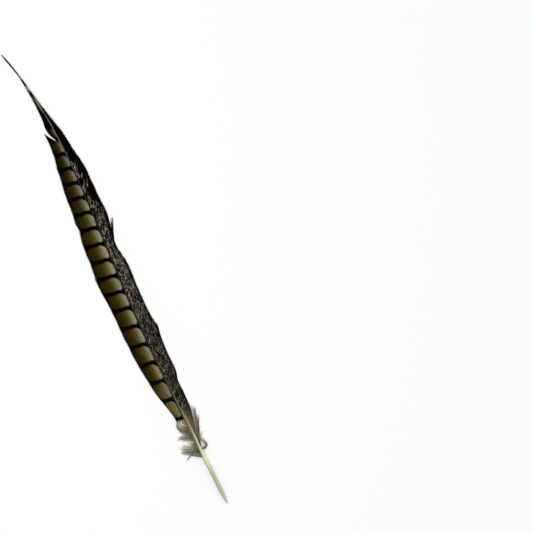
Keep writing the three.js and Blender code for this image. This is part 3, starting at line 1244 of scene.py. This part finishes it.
@dataclass
class Vane:
    """One vane: rows of barbs that hook together into webs.

    Attributes:
        line: the shaft's middle line.
        side: which side of the shaft it is on.
        lean: how far towards the tip a barb has run when it is `out` from the shaft:
            lean[0] * out + lean[1] * out².
        landing: how far out the vane comes down to the surface that the feather lies on.
        webs: its webs, tip first.
        finish: what its barbs are made of.
        slot: the record's slot for it.
        locks: locks of barbs that have come out of the web.
        bars: where its bars are, for a finish that draws them.
        spacing: how far apart the barbs are rooted. Real ones are closer together, and are
            drawn coarser so that single barbs show.
        stations: how many points each barb has.
        overlap: a barb's width as a share of the gap to its neighbours.
        depth: how thick a barb is at its root and at its tip.
        seed: the start of its random numbers.
        web_thickness: how thick the web is in the solid part.
        above_middle: how far above the shaft's middle the web joins it, as a share of the
            shaft's depth.
        tip_lean: how many times steeper the barbs lean at the tip.
        tip_lean_ends: how far from the tip they stop leaning more.
        tip_length: how far the barbs' thin tips stand out from the web's edge.
        tips_from: where along the shaft they start to, and where they do in full.
        uneven: how its barbs differ.
        starts: how far out a barb starts, as a share of the shaft's width.
        shortest: how long a barb is at least.
        crowding: the power by which a barb's points lie closer together at its end.
        middle_height: how high a barb's middle is above the web's underside.
        narrowest: how wide a barb is at least.
        taper: from which share of its length a barb narrows, and by how much.
        widest: how far out the search for the web's edge goes.
        lock_stations: how many points the barbs of a free lock have.
        lock_barb: how wide and how thick they are at their foot.
        lock_narrowest: how wide they are at least.
        lock_taper: by how much they narrow and thin.
        lock_run: how far along its barb the finish takes a lock's end to be.
    """

    line: ShaftLine
    side: Side
    lean: tuple[float, float]
    landing: Profile
    webs: tuple[Web, ...]
    finish: WebKeratin
    slot: Slot
    locks: tuple[Lock, ...] = ()
    bars: Bars = Bars()
    spacing: float = 0.62
    stations: int = 21
    overlap: float = 1.35
    depth: tuple[float, float] = (0.34, 0.2)
    seed: int = 1
    web_thickness: float = 0.7
    above_middle: float = 0.2
    tip_lean: float = 2.2
    tip_lean_ends: float = 115.0
    tip_length: float = 0.5
    tips_from: tuple[float, float] = (60, 150)
    uneven: Unevenness = Unevenness()
    starts: float = 0.3
    shortest: float = 0.2
    crowding: float = 1.15
    middle_height: float = 0.3
    narrowest: float = 0.16
    taper: tuple[float, float] = (0.9, 0.6)
    widest: float = 30.0
    lock_stations: int = 12
    lock_barb: tuple[float, float] = (1.1, 0.3)
    lock_narrowest: float = 0.42
    lock_taper: float = 0.6
    lock_run: float = 20.0

    def run(self, root: np.ndarray, out: np.ndarray) -> np.ndarray:
        """How far towards the tip a barb has run when it is `out` from the shaft.

        Args:
            root: where the barbs are rooted.
            out: how far out they are.

        Returns:
            A length for each.
        """
        extra = 1 + (self.tip_lean - 1) * (1 - smooth_step(root, 0, self.tip_lean_ends))
        return extra * (self.lean[0] * out + self.lean[1] * out * out)

    def ends(self, roots: np.ndarray, edge: Profile) -> np.ndarray:
        """How far out each barb meets the web's edge.

        Args:
            roots: where the barbs are rooted.
            edge: the web's edge.

        Returns:
            A distance from the middle line for each.
        """
        inside, outside = np.zeros_like(roots), np.full_like(roots, self.widest)
        for _ in range(HALVINGS):
            middle = (inside + outside) / 2
            short = middle < edge(roots - self.run(roots, middle))
            inside, outside = np.where(short, middle, inside), np.where(short, outside, middle)
        return inside

    def underside(self, from_tip: np.ndarray, out: np.ndarray) -> np.ndarray:
        """The height of the vane's underside: it comes down from the shaft and lies flat.

        Args:
            from_tip: distances from the tip.
            out: distances from the middle line.

        Returns:
            A height for each.
        """
        raised = self.above_middle * SHAFT_DEPTH(from_tip) - self.web_thickness / 2
        at_shaft = np.maximum(0, self.line.middle(from_tip)[..., 2] + raised)
        share = np.clip(out / self.landing(from_tip), 0, 1)
        return at_shaft * (1 - share * share) ** 2

    def web_strands(self, web: Web, rng: np.random.Generator) -> Strands:
        """The barbs of one web.

        Args:
            web: the web.
            rng: the source of the random numbers.

        Returns:
            Its barbs as swept strands.
        """
        count = round((web.roots[1] - web.roots[0]) / self.spacing)
        roots = np.linspace(*web.roots, count)
        ends = self.ends(roots, web.edge)
        uneven = self.uneven
        by, over = uneven.edge
        ends = ends * (1 + by * wander(count, over, rng)) + uneven.ends * rng.normal(size=count)
        ends = ends + self.tip_length * smooth_step(roots, *self.tips_from)
        share = 1 - (1 - np.linspace(0, 1, self.stations)) ** self.crowding
        start = self.starts * SHAFT_WIDTH(roots)[:, None]
        out = start + (np.maximum(ends[:, None], start + self.shortest) - start) * share
        drift = sum(by * wander(count, over, rng) for by, over in uneven.drifts)
        drift = drift[:, None] * share**uneven.drift_bend
        from_tip = roots[:, None] - self.run(roots[:, None], out) + drift
        length, change = uneven.ripple_lengths
        phase = from_tip / length + uneven.ripple_change * np.sin(from_tip / change)
        ripple = uneven.ripple * np.sin(phase) * share
        by, over = uneven.lift
        lift = by * wander(count, over, rng)[:, None] * share
        thick = self.depth[0] + (self.depth[1] - self.depth[0]) * share
        height = self.underside(from_tip, out) + self.middle_height + np.abs(ripple) + lift
        centre = self.line.place(from_tip, self.side.value * out, height)
        across = unit(np.cross(unit(np.gradient(centre, axis=1)), UP))
        gap = np.abs((np.gradient(centre, axis=0) * across).sum(-1))
        taper_from, taper_by = self.taper
        taper = 1 - taper_by * smooth_step(share, taper_from, 1)
        steps = np.linalg.norm(np.diff(centre, axis=1), axis=-1)
        run = np.concatenate([np.zeros((count, 1)), np.cumsum(steps, axis=1)], axis=1)
        tone = np.repeat(rng.random(count)[:, None], self.stations, axis=1)
        reach = np.maximum(web.edge(from_tip), LEAST_REACH)
        spread = np.linspace(CHART_MARGIN, 1 - CHART_MARGIN, count)[:, None] + 0 * share
        return Strands(
            centre=centre,
            width=np.maximum(gap * self.overlap, self.narrowest) * taper,
            depth=thick + 0 * out,
            section=ROOF,
            values={
                "place": np.stack([from_tip, out, reach], -1),
                "barb": np.stack([roots[:, None] + 0 * out, run, tone], -1),
                "bars": self.bars.values(from_tip, out, reach, rng),
            },
            chart=np.stack([spread, share + 0 * spread], -1),
            chart_width=1 / count,
        )

    def lock_strands(self, lock: Lock, rng: np.random.Generator) -> Strands:
        """The barbs of a lock that has come out of the web.

        Args:
            lock: the lock.
            rng: the source of the random numbers.

        Returns:
            Its barbs as swept strands.
        """
        from_tip, out, height, share = lock_lines(self, lock, self.lock_stations, rng)
        width, depth = self.lock_barb
        thinned = 1 - self.lock_taper * share
        level = 0 * out
        return Strands(
            centre=self.line.place(from_tip, self.side.value * out, height),
            width=np.maximum(self.lock_narrowest, width * thinned) + level,
            depth=depth * thinned + level,
            section=ROOF,
            values={
                "place": np.stack([from_tip, out, out + self.shortest], -1),
                "barb": np.stack(
                    [lock.foot[0] + level, self.lock_run * share + level, 0.5 + level], -1
                ),
                "bars": np.zeros((*out.shape, 3)),
            },
            chart=np.stack([0.5 + level, share + level], -1),
            chart_width=HAIR_ON_CHART,
        )

    def build(self) -> bpy.types.Object:
        """Makes the vane.

        Returns:
            The finished piece.
        """
        rng = np.random.default_rng(self.seed)
        draft = Draft(self.slot.value)
        for web in self.webs:
            draft.add(self.web_strands(web, rng))
        for lock in self.locks:
            draft.add(self.lock_strands(lock, rng))
        return draft.make(self.finish.make(), self.slot, smooth=False)


def lock_lines(
    vane: Vane, lock: Lock, stations: int, rng: np.random.Generator
) -> tuple[np.ndarray, np.ndarray, np.ndarray, np.ndarray]:
    """The lines of a lock's barbs, fanned out from its foot.

    Args:
        vane: the vane that it belongs to.
        lock: the lock.
        stations: how many points each line has.
        rng: the source of the random numbers.

    Returns:
        Distance from the tip, out and height of each station, and its share of the way.
    """
    share = np.linspace(0, 1, stations)[None]
    foot, bend, tip = (np.array(point, float) for point in (lock.foot, lock.bend, lock.tip))
    column = (lock.barbs, 1)
    differ, shortest, longest = lock.lengths
    long = (1 + differ * rng.normal(size=column)).clip(shortest, longest) * share
    t = long[..., None]
    curve = foot * (1 - t) ** 2 + 2 * bend * t * (1 - t) + tip * t**2
    tangent = unit(np.gradient(curve, axis=1))
    across = np.stack([tangent[..., 1], -tangent[..., 0]], -1)
    offset = np.linspace(-0.5, 0.5, lock.barbs)[:, None] + lock.spread * rng.normal(size=column)
    curl = lock.curl * rng.normal(size=column) * long**2
    opened = lock.gathered + (1 - lock.gathered) * long**lock.opening
    fan = (offset * opened + curl) * lock.width
    curve = curve + across * fan[..., None]
    from_tip, out = curve[..., 0], np.maximum(curve[..., 1], 0)
    way = long.clip(0, 1)
    on_web = np.maximum(vane.underside(from_tip, out), 0) + vane.middle_height + lock.climb * way
    arch = lock.rise * np.sin(math.pi * way) * rng.random(column) * lock.arching
    return from_tip, out, on_web + arch, share


@dataclass(frozen=True)
class Barbules:
    """The fine branches on both sides of a loose barb, of three stations each.

    Attributes:
        width: how thick they are. Real ones are a tenth of this, and are drawn coarser so
            that they show.
        thinning: their thickness at the three stations, as shares of it.
        spacing: how far apart they are along one side of a barb.
        fewest: how many a barb has at least.
        first: the share of the barb's length at which the first one grows, and the least
            share that chance may move it to.
        jitter: how unevenly they are spaced, as a share of their spacing.
        angle: their angle to the barb and how much it differs, in degrees.
        closing: how much smaller it is at the barb's end, as a share.
        heave: how much they turn up and down.
        length: their least length, and what chance adds to it, as shares of the lock's fluff.
        shortening: how much shorter they are at the barb's end, as a share.
        middle: how far along its own way the middle station is.
        end: how far along that way, and along the barb, the end is.
        lowest: how high above the floor they stay.
        paler: how much farther to the barb's tip the finish takes the three stations to be.
    """

    width: float = 0.11
    thinning: tuple[float, float, float] = (1.0, 0.7, 0.15)
    spacing: float = 0.5
    fewest: int = 4
    first: tuple[float, float] = (0.08, 0.04)
    jitter: float = 0.4
    angle: tuple[float, float] = (48, 12)
    closing: float = 0.45
    heave: float = 0.45
    length: tuple[float, float] = (0.75, 0.35)
    shortening: float = 0.45
    middle: float = 0.5
    end: tuple[float, float] = (0.75, 0.3)
    lowest: float = 0.12
    paler: tuple[float, float, float] = (0.0, 0.1, 0.25)


@dataclass
class Down:
    """The downy base of a vane: loose barbs with fine barbules that don't hook together.

    Attributes:
        vane: the vane that it belongs to.
        name: the piece's name.
        locks: its locks.
        finish: what they are made of.
        stations: how many points each barb has.
        barb_width: how thick a loose barb is at its root.
        barb_taper: by how much it thins to its end.
        barb_on_chart: how wide it is on the flat map.
        likeness: over about how many barbs their tone changes.
        chart_border: what the flat map takes in beyond the locks.
        fine: the barbules.
        seed: the start of its random numbers.
    """

    vane: Vane
    name: str
    locks: tuple[Lock, ...]
    finish: DownKeratin = DownKeratin("keratin_loose_down", (0.75, 0.95), 0.02, 0.05, 0.1)
    stations: int = 12
    barb_width: float = 0.26
    barb_taper: float = 0.75
    barb_on_chart: float = 0.002
    likeness: float = 0.8
    chart_border: float = 4
    fine: Barbules = Barbules()
    seed: int = 5

    def chart(self, from_tip: np.ndarray, out: np.ndarray) -> np.ndarray:
        """Where places on the feather lie on the flat map: a plain view from above.

        Args:
            from_tip: distances from the tip.
            out: distances from the middle line.

        Returns:
            The map's points.
        """
        feet = [p for lock in self.locks for p in (lock.foot, lock.bend, lock.tip)]
        low = min(p[0] for p in feet) - self.chart_border
        high = max(p[0] for p in feet) + self.chart_border
        wide = max(p[1] for p in feet) + self.chart_border
        return np.stack([(from_tip - low) / (high - low), out / wide], -1)

    def barbs(self, lock: Lock, rng: np.random.Generator) -> Strands:
        """A lock's loose barbs.

        Args:
            lock: the lock.
            rng: the source of the random numbers.

        Returns:
            The barbs as swept strands.
        """
        from_tip, out, height, share = lock_lines(self.vane, lock, self.stations, rng)
        full = share + 0 * out
        tone = wander(lock.barbs, self.likeness, rng)[:, None]
        thick = self.barb_width * (1 - self.barb_taper * full)
        return Strands(
            centre=self.vane.line.place(from_tip, self.vane.side.value * out, height),
            width=thick,
            depth=thick,
            section=ROOF,
            values={
                "place": np.stack([from_tip, out, height], -1),
                "barb": np.stack([full, lock.cream + 0 * full, tone + 0 * full], -1),
            },
            chart=self.chart(from_tip, out),
            chart_width=self.barb_on_chart,
        )

    def barbules(self, lock: Lock, barbs: Strands, rng: np.random.Generator) -> Strands:
        """The barbules on both sides of a lock's barbs.

        Args:
            lock: the lock.
            barbs: its barbs.
            rng: the source of the random numbers.

        Returns:
            The barbules as swept strands of three stations.
        """
        fine = self.fine
        count, stations = barbs.width.shape
        steps = np.linalg.norm(np.diff(barbs.centre, axis=1), axis=-1).sum(1)
        each = max(fine.fewest, int(2 * steps.mean() / fine.spacing))
        spaced, grid = (count, each), (count, each, 1)
        first, least = fine.first
        at = np.linspace(first, 1.0, each)[None] + rng.normal(size=spaced) * fine.jitter / each
        at = at.clip(least, 1)
        spot = at * (stations - 1)
        i = np.minimum(spot.astype(int), stations - 2)
        t = (spot - i)[..., None]
        row = np.arange(count)[:, None]
        across, up = barbs.frames()
        base = barbs.centre[row, i] * (1 - t) + barbs.centre[row, i + 1] * t
        forward = unit(barbs.centre[row, i + 1] - barbs.centre[row, i])
        side = np.where(np.arange(each) % 2, 1.0, -1.0)[None, :, None]
        angle, differ = fine.angle
        angle = np.radians(angle + differ * rng.normal(size=grid))
        angle = angle * (1 - fine.closing * at[..., None])
        heave = fine.heave * rng.normal(size=grid)
        way = forward * np.cos(angle) + across[row, i] * side * np.sin(angle) + up[row, i] * heave
        way = unit(way)
        least, more = fine.length
        long = lock.fluff * (least + more * rng.random(grid))
        long = long * (1 - fine.shortening * at[..., None] ** 2)
        middle = base + way * long * fine.middle
        end = base + way * long * fine.end[0] + forward * long * fine.end[1]
        centre = np.stack([base, middle, end], 2).reshape(-1, 3, 3)
        centre[..., 2] = np.maximum(centre[..., 2], fine.lowest)
        thin = np.broadcast_to(np.array(fine.thinning) * fine.width, (len(centre), 3))
        values = self.carried(barbs, row, i, t)
        return Strands(
            centre=centre,
            width=thin,
            depth=thin,
            section=NEEDLE,
            values=values,
            chart=self.chart(values["place"][..., 0], values["place"][..., 1]),
            chart_width=HAIR_ON_CHART,
        )

    def carried(
        self, barbs: Strands, row: np.ndarray, i: np.ndarray, t: np.ndarray
    ) -> dict[str, np.ndarray]:
        """What the finish reads on the barbules, taken from the barbs that they grow on.

        Args:
            barbs: the barbs.
            row: each barbule's barb.
            i: the station below each barbule.
            t: each barbule's share of the way to the next station.

        Returns:
            The values by name.
        """
        found = {}
        for name, value in barbs.values.items():
            at_base = value[row, i] * (1 - t) + value[row, i + 1] * t
            stations = np.repeat(at_base.reshape(-1, 1, 3), 3, axis=1)
            if name == "barb":
                stations[..., 0] = np.minimum(1, stations[..., 0] + self.fine.paler)
            found[name] = stations
        return found

    def build(self) -> bpy.types.Object:
        """Makes the down.

        Returns:
            The finished piece.
        """
        rng = np.random.default_rng(self.seed)
        draft = Draft(self.name)
        for lock in self.locks:
            barbs = self.barbs(lock, rng)
            draft.add(barbs)
            draft.add(self.barbules(lock, barbs, rng))
        return draft.make(self.finish.make(), Slot.DOWN, smooth=False)


# --------------------------------------------------------------------------- studio


@dataclass(frozen=True)
class PaperFloor:
    """Matt white card, rolled smooth: it gives the eye a plain ground with soft shadows.

    Attributes:
        name: the material's name.
        colour: its colour.
        tooth: the grain of its surface, in millimetres. Real card is finer, and is drawn
            coarse enough to show.
        relief: how deep the grain is.
        roughness: its roughness, near to fully matt.
        specular: the specular level.
    """

    name: str = "card_matt_white"
    colour: str = "#fdfdfc"
    tooth: float = 0.8
    relief: float = 0.02
    roughness: float = 0.9
    specular: float = 0.1

    def make(self) -> bpy.types.Material:
        """Makes the material.

        Returns:
            A plain pale material with a faint tooth.
        """
        material, add = start_material(self.name)
        grain = add("TexNoise", {"Scale": 1 / (self.tooth * MM)})
        look = {
            "Base Color": to_linear(self.colour),
            "Roughness": self.roughness,
            "Specular IOR Level": self.specular,
            "Normal": add("Bump", {"Height": grain, "Distance": self.relief * MM}),
        }
        add("OutputMaterial", {"Surface": add("BsdfPrincipled", look)})
        return material


@dataclass
class Studio:
    """The camera straight above the feather, the pale floor and the soft light.

    Attributes:
        quill_end: where the quill ends in the part's frame.
        aim: how far from the quill end the view's middle is, along X and Y.
        lean: how far the view's upright direction is turned from the feather's, in degrees.
        across: how much of the floor the view takes in.
        lens: the focal length.
        sensor: the width of the camera's sensor.
        floor_size: how long and wide the floor is.
        sky: how strong the light from all round is.
        lamp_size: how wide the lamp is.
        lamp_place: where it hangs: x, y and height.
        lamp_watts: how strong it is.
    """

    quill_end: tuple[float, float]
    aim: tuple[float, float] = (155.5, 212.9)
    lean: float = 26.77
    across: float = 586.3
    lens: float = 100.0
    sensor: float = 36.0
    floor_size: float = 6000.0
    sky: float = 0.86
    lamp_size: float = 1500.0
    lamp_place: tuple[float, float, float] = (-700.0, 500.0, 1900.0)
    lamp_watts: float = 9.0

    def make_camera(self) -> None:
        """Puts the camera above the view's middle, looking straight down."""
        data = bpy.data.cameras.new("camera")
        data.lens = self.lens
        data.sensor_width = self.sensor
        camera = bpy.data.objects.new("camera", data)
        angle = math.radians(self.lean)
        upright = Vector((math.sin(angle), math.cos(angle), 0))
        right = Vector((math.cos(angle), -math.sin(angle), 0))
        turned = Matrix((right, upright, Vector((0, 0, 1)))).transposed().to_4x4()
        height = self.across * self.lens / self.sensor
        x, y = self.quill_end[0] + self.aim[0], self.quill_end[1] + self.aim[1]
        camera.matrix_world = Matrix.Translation(Vector((x, y, height)) * MM) @ turned
        bpy.context.scene.collection.objects.link(camera)
        bpy.context.scene.camera = camera

    def make_floor(self) -> None:
        """Lays the floor that the feather lies on."""
        half = self.floor_size / 2 * MM
        corners = [(-half, -half, 0), (half, -half, 0), (half, half, 0), (-half, half, 0)]
        mesh = bpy.data.meshes.new("floor")
        mesh.from_pydata(corners, [], [(0, 1, 2, 3)])
        mesh.materials.append(PaperFloor().make())
        floor = bpy.data.objects.new("floor", mesh)
        bpy.context.scene.collection.objects.link(floor)

    def make_light(self) -> None:
        """Lights the scene from all round, and a little more from one large lamp."""
        world = bpy.data.worlds.new("studio")
        world.use_nodes = True
        tree = world.node_tree
        tree.nodes.clear()
        glow = {"Color": to_linear("#ffffff"), "Strength": self.sky}
        sky = add_node(tree, "Background", glow)
        add_node(tree, "OutputWorld", {"Surface": sky})
        bpy.context.scene.world = world
        data = bpy.data.lights.new("soft_lamp", "AREA")
        data.shape = "DISK"
        data.size = self.lamp_size * MM
        data.energy = self.lamp_watts
        lamp = bpy.data.objects.new("soft_lamp", data)
        place = Vector(self.lamp_place) * MM
        turned = place.to_track_quat("Z", "Y").to_matrix().to_4x4()
        lamp.matrix_world = Matrix.Translation(place) @ turned
        bpy.context.scene.collection.objects.link(lamp)
        bpy.context.scene.view_settings.view_transform = "Standard"


# --------------------------------------------------------------------------- the feather


# How far out the webs' edges are, by the distance from the tip.
BARRED_TIP_EDGE = Profile(
    (
        (25, 0.6), (44, 2), (66, 3.8), (88, 6.2), (96, 7.7), (104, 6.6),
        (114, 3.3),
    )
)
BARRED_EDGE = Profile(
    (
        (99, 11.5), (121, 12.2), (143, 16), (165, 18.9), (198, 20.9), (207, 22),
        (213, 20.9), (225, 23.1), (253, 23.9), (277, 25), (308, 22.6), (352, 21.7),
        (374, 20.7), (396, 18.5), (412, 16.7), (434, 12.1), (446, 9.8), (454, 10),
        (462, 7), (468, 4.2), (473, 2.2),
    )
)
MOTTLED_EDGE = Profile(
    (
        (50, 0.6), (66, 1.1), (88, 3.6), (110, 7.2), (132, 9.1), (151, 12.1),
        (187, 13), (209, 14.3), (220, 13.2), (244, 9.9), (264, 13.2), (275, 14.3),
        (302, 13.9), (333, 14.6), (346, 16.8), (357, 15.4), (374, 14.5), (401, 13.8),
        (407, 11.6), (440, 10.6), (453, 8.8), (462, 7.6), (471, 5.4), (477, 2.2),
    )
)


@dataclass
class Feather:
    """The whole feather: its shaft, its two vanes and the down at its base.

    Attributes:
        quill_end: where the quill ends in the part's frame.
        line: the shaft's middle line.
        barred: the wide vane.
        mottled: the narrow vane.
    """

    quill_end: tuple[float, float]
    line: ShaftLine = field(init=False)
    barred: Vane = field(init=False)
    mottled: Vane = field(init=False)

    def __post_init__(self) -> None:
        """Lays out the shaft's line and the two vanes on it."""
        self.line = ShaftLine(self.quill_end)
        self.barred = Vane(
            line=self.line,
            side=Side.BARRED,
            lean=(1.38, 0.032),
            landing=Profile(((0, 4), (90, 8), (180, 15), (300, 19), (400, 17), (480, 12))),
            webs=(Web((32, 118.5), BARRED_TIP_EDGE), Web((120, 476), BARRED_EDGE)),
            finish=BarredWeb("keratin_barred_web", (0.65, 0.85), 0.1, 0.004),
            slot=Slot.BARRED,
            seed=11,
        )
        self.mottled = Vane(
            line=self.line,
            side=Side.MOTTLED,
            lean=(1.45, 0.06),
            landing=Profile(((0, 4), (110, 8), (200, 11), (400, 11), (480, 9))),
            webs=(Web((56, 480), MOTTLED_EDGE),),
            finish=MottledWeb("keratin_mottled_web", (0.65, 0.85), 0.1, 0.004),
            slot=Slot.MOTTLED,
            locks=(Lock((243, 8.4), (231, 11.5), (217.5, 16.3), 1.5, 5),),
            stations=15,
            seed=12,
        )

    def build_down(self) -> list[bpy.types.Object]:
        """Makes the puff, the two tufts, the fringe beside the mottled vane and the curl.

        Returns:
            The finished pieces.
        """
        puff = (
            Lock((466, 0.5), (458.5, 17), (450.5, 9.2), 2.3, 12, 1.4, 0.3, 0.8, 0.9),
            Lock((464, 0.5), (457.5, 13.4), (450.5, 7.8), 3, 12, 1.2, 0.15, 1.1, 0.9),
            Lock((460.5, 0.5), (455.5, 11), (451, 6.8), 2.8, 11, 1.2, 0.5, 1.2, 0.8),
            # the cream lock in the puff's middle: pale down, drawn paler still where a bright
            # highlight lies on the puff, so partly painted highlight
            Lock((458.5, 0.5), (454.5, 8), (451.5, 5.2), 2.0, 9, 1.1, 1.0, 1.3, 0.8),
            Lock((469, 0.5), (463, 9.5), (460, 12), 2.2, 8, 1.2, 0.1, 0.6, 0.8),
        )
        tufts = (
            Lock((469, 0.5), (465.5, 6), (464, 10.5), 2.8, 8, 1.2, 0.1, 0.6, 0.8),
            Lock((471.5, 0.5), (467, 9), (466.4, 15.8), 3.4, 12, 1.4, 0.1, 0.8, 0.9),
            Lock((473, 0.5), (468.5, 9.5), (467.2, 17.6), 2.0, 7, 1.1, 0.0, 0.8),
            Lock((475, 0.5), (472, 6.5), (470.5, 13), 3.2, 8, 1.4, 0.7, 0.6, 0.8),
            Lock((478, 0.5), (476, 4), (473.5, 9.5), 3.4, 9, 1.6, 1.0, 0.5, 0.9),
            Lock((481, 0.5), (480, 3), (477.5, 6.8), 2.8, 9, 1.4, 0.7, 0.4, 0.9),
            Lock((483, 0.5), (482, 7.5), (476, 14.6), 2.4, 8, 1.3, 0.1, 0.6, 0.8),
            Lock((485.5, 0.5), (484, 10), (474.6, 19.2), 1.0, 3, 0.9, 0.4, 0.6),
            Lock((485.5, 0.5), (483.5, 9), (478, 17.8), 3.4, 12, 1.4, 0.15, 0.8, 0.9),
            Lock((488.5, 0.5), (486, 10), (481.6, 19.2), 3.6, 13, 1.5, 0.05, 0.8, 0.9),
            Lock((491.5, 0.5), (488, 9), (484, 17.2), 4, 13, 1.5, 0.0, 0.8, 0.9),
            Lock((495, 0.5), (491.5, 6), (487, 13.4), 3.6, 12, 1.4, 0.0, 0.6, 0.9),
            Lock((493, 3), (486, 10.5), (491.8, 18.6), 1.5, 9, 0.9, 0.0, 0.3),
        )
        fringe = (
            Lock((473, 2.7), (454, 9.4), (441.5, 11.6), 2.4, 9, 1.2, 0.45, 0.4, 0.6),
            Lock((477, 2.7), (458.5, 9.4), (445.5, 13.2), 2.4, 10, 1.2, 0.2, 0.4, 0.6),
            Lock((481, 2.6), (465, 7.4), (454.5, 13.2), 2.6, 11, 1.3, 0.0, 0.5, 0.6),
            Lock((483, 2.5), (473, 3.8), (466, 8.8), 2.4, 8, 1.2, 0.1, 0.5, 0.6),
            Lock((484, 2), (475, 4.4), (471.5, 9.6), 1.4, 4, 1.0, 0.2, 0.4),
            Lock((487.8, 1.6), (489.3, 13.2), (474.8, 4.4), 3.0, 11, 1.4, 0.45, 0.6),
            # the cream lock inside the curl: pale down, and also a painted highlight on the curl
            Lock((486.4, 1.4), (485.8, 4.8), (480, 4.4), 1.8, 9, 1.1, 1.0, 2.0),
        )
        return [
            Down(self.barred, "down_puff", puff, seed=21).build(),
            Down(self.barred, "down_tufts", tufts, seed=22).build(),
            Down(self.mottled, "down_fringe", fringe, seed=23).build(),
        ]

    def build(self) -> list[bpy.types.Object]:
        """Makes all pieces of the feather.

        Returns:
            The finished pieces.
        """
        return [
            Shaft(self.line).build(),
            self.barred.build(),
            self.mottled.build(),
            *self.build_down(),
        ]


QUILL_END_DEPTH = 1.0  # the quill end's corners lie within this much of the lowest one
LINE_BESIDE = 0.2  # how far beside the middle of those corners the shaft's line starts


def find_quill_end(node: bpy.types.Object) -> tuple[float, float]:
    """Where the shaft's line starts in the part's frame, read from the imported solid.

    Args:
        node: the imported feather.

    Returns:
        The line's own origin, in millimetres.
    """
    points = np.array([v.co for v in node.data.vertices]) / MM
    lowest = points[:, 1].min()
    end = points[points[:, 1] < lowest + QUILL_END_DEPTH]
    return float(end[:, 0].mean() + LINE_BESIDE), float(lowest)


def main() -> None:
    """Builds the scene: the camera, the feather, the floor and the light."""
    logging.basicConfig(level=logging.INFO, format="%(name)s: %(message)s")
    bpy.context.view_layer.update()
    quill_end = find_quill_end(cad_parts[NODE])
    studio = Studio(quill_end)
    studio.make_camera()
    for piece in Feather(quill_end).build():
        LOG.info("%s is in place", piece.name)
    studio.make_floor()
    studio.make_light()


if __name__ == "__main__":
    main()
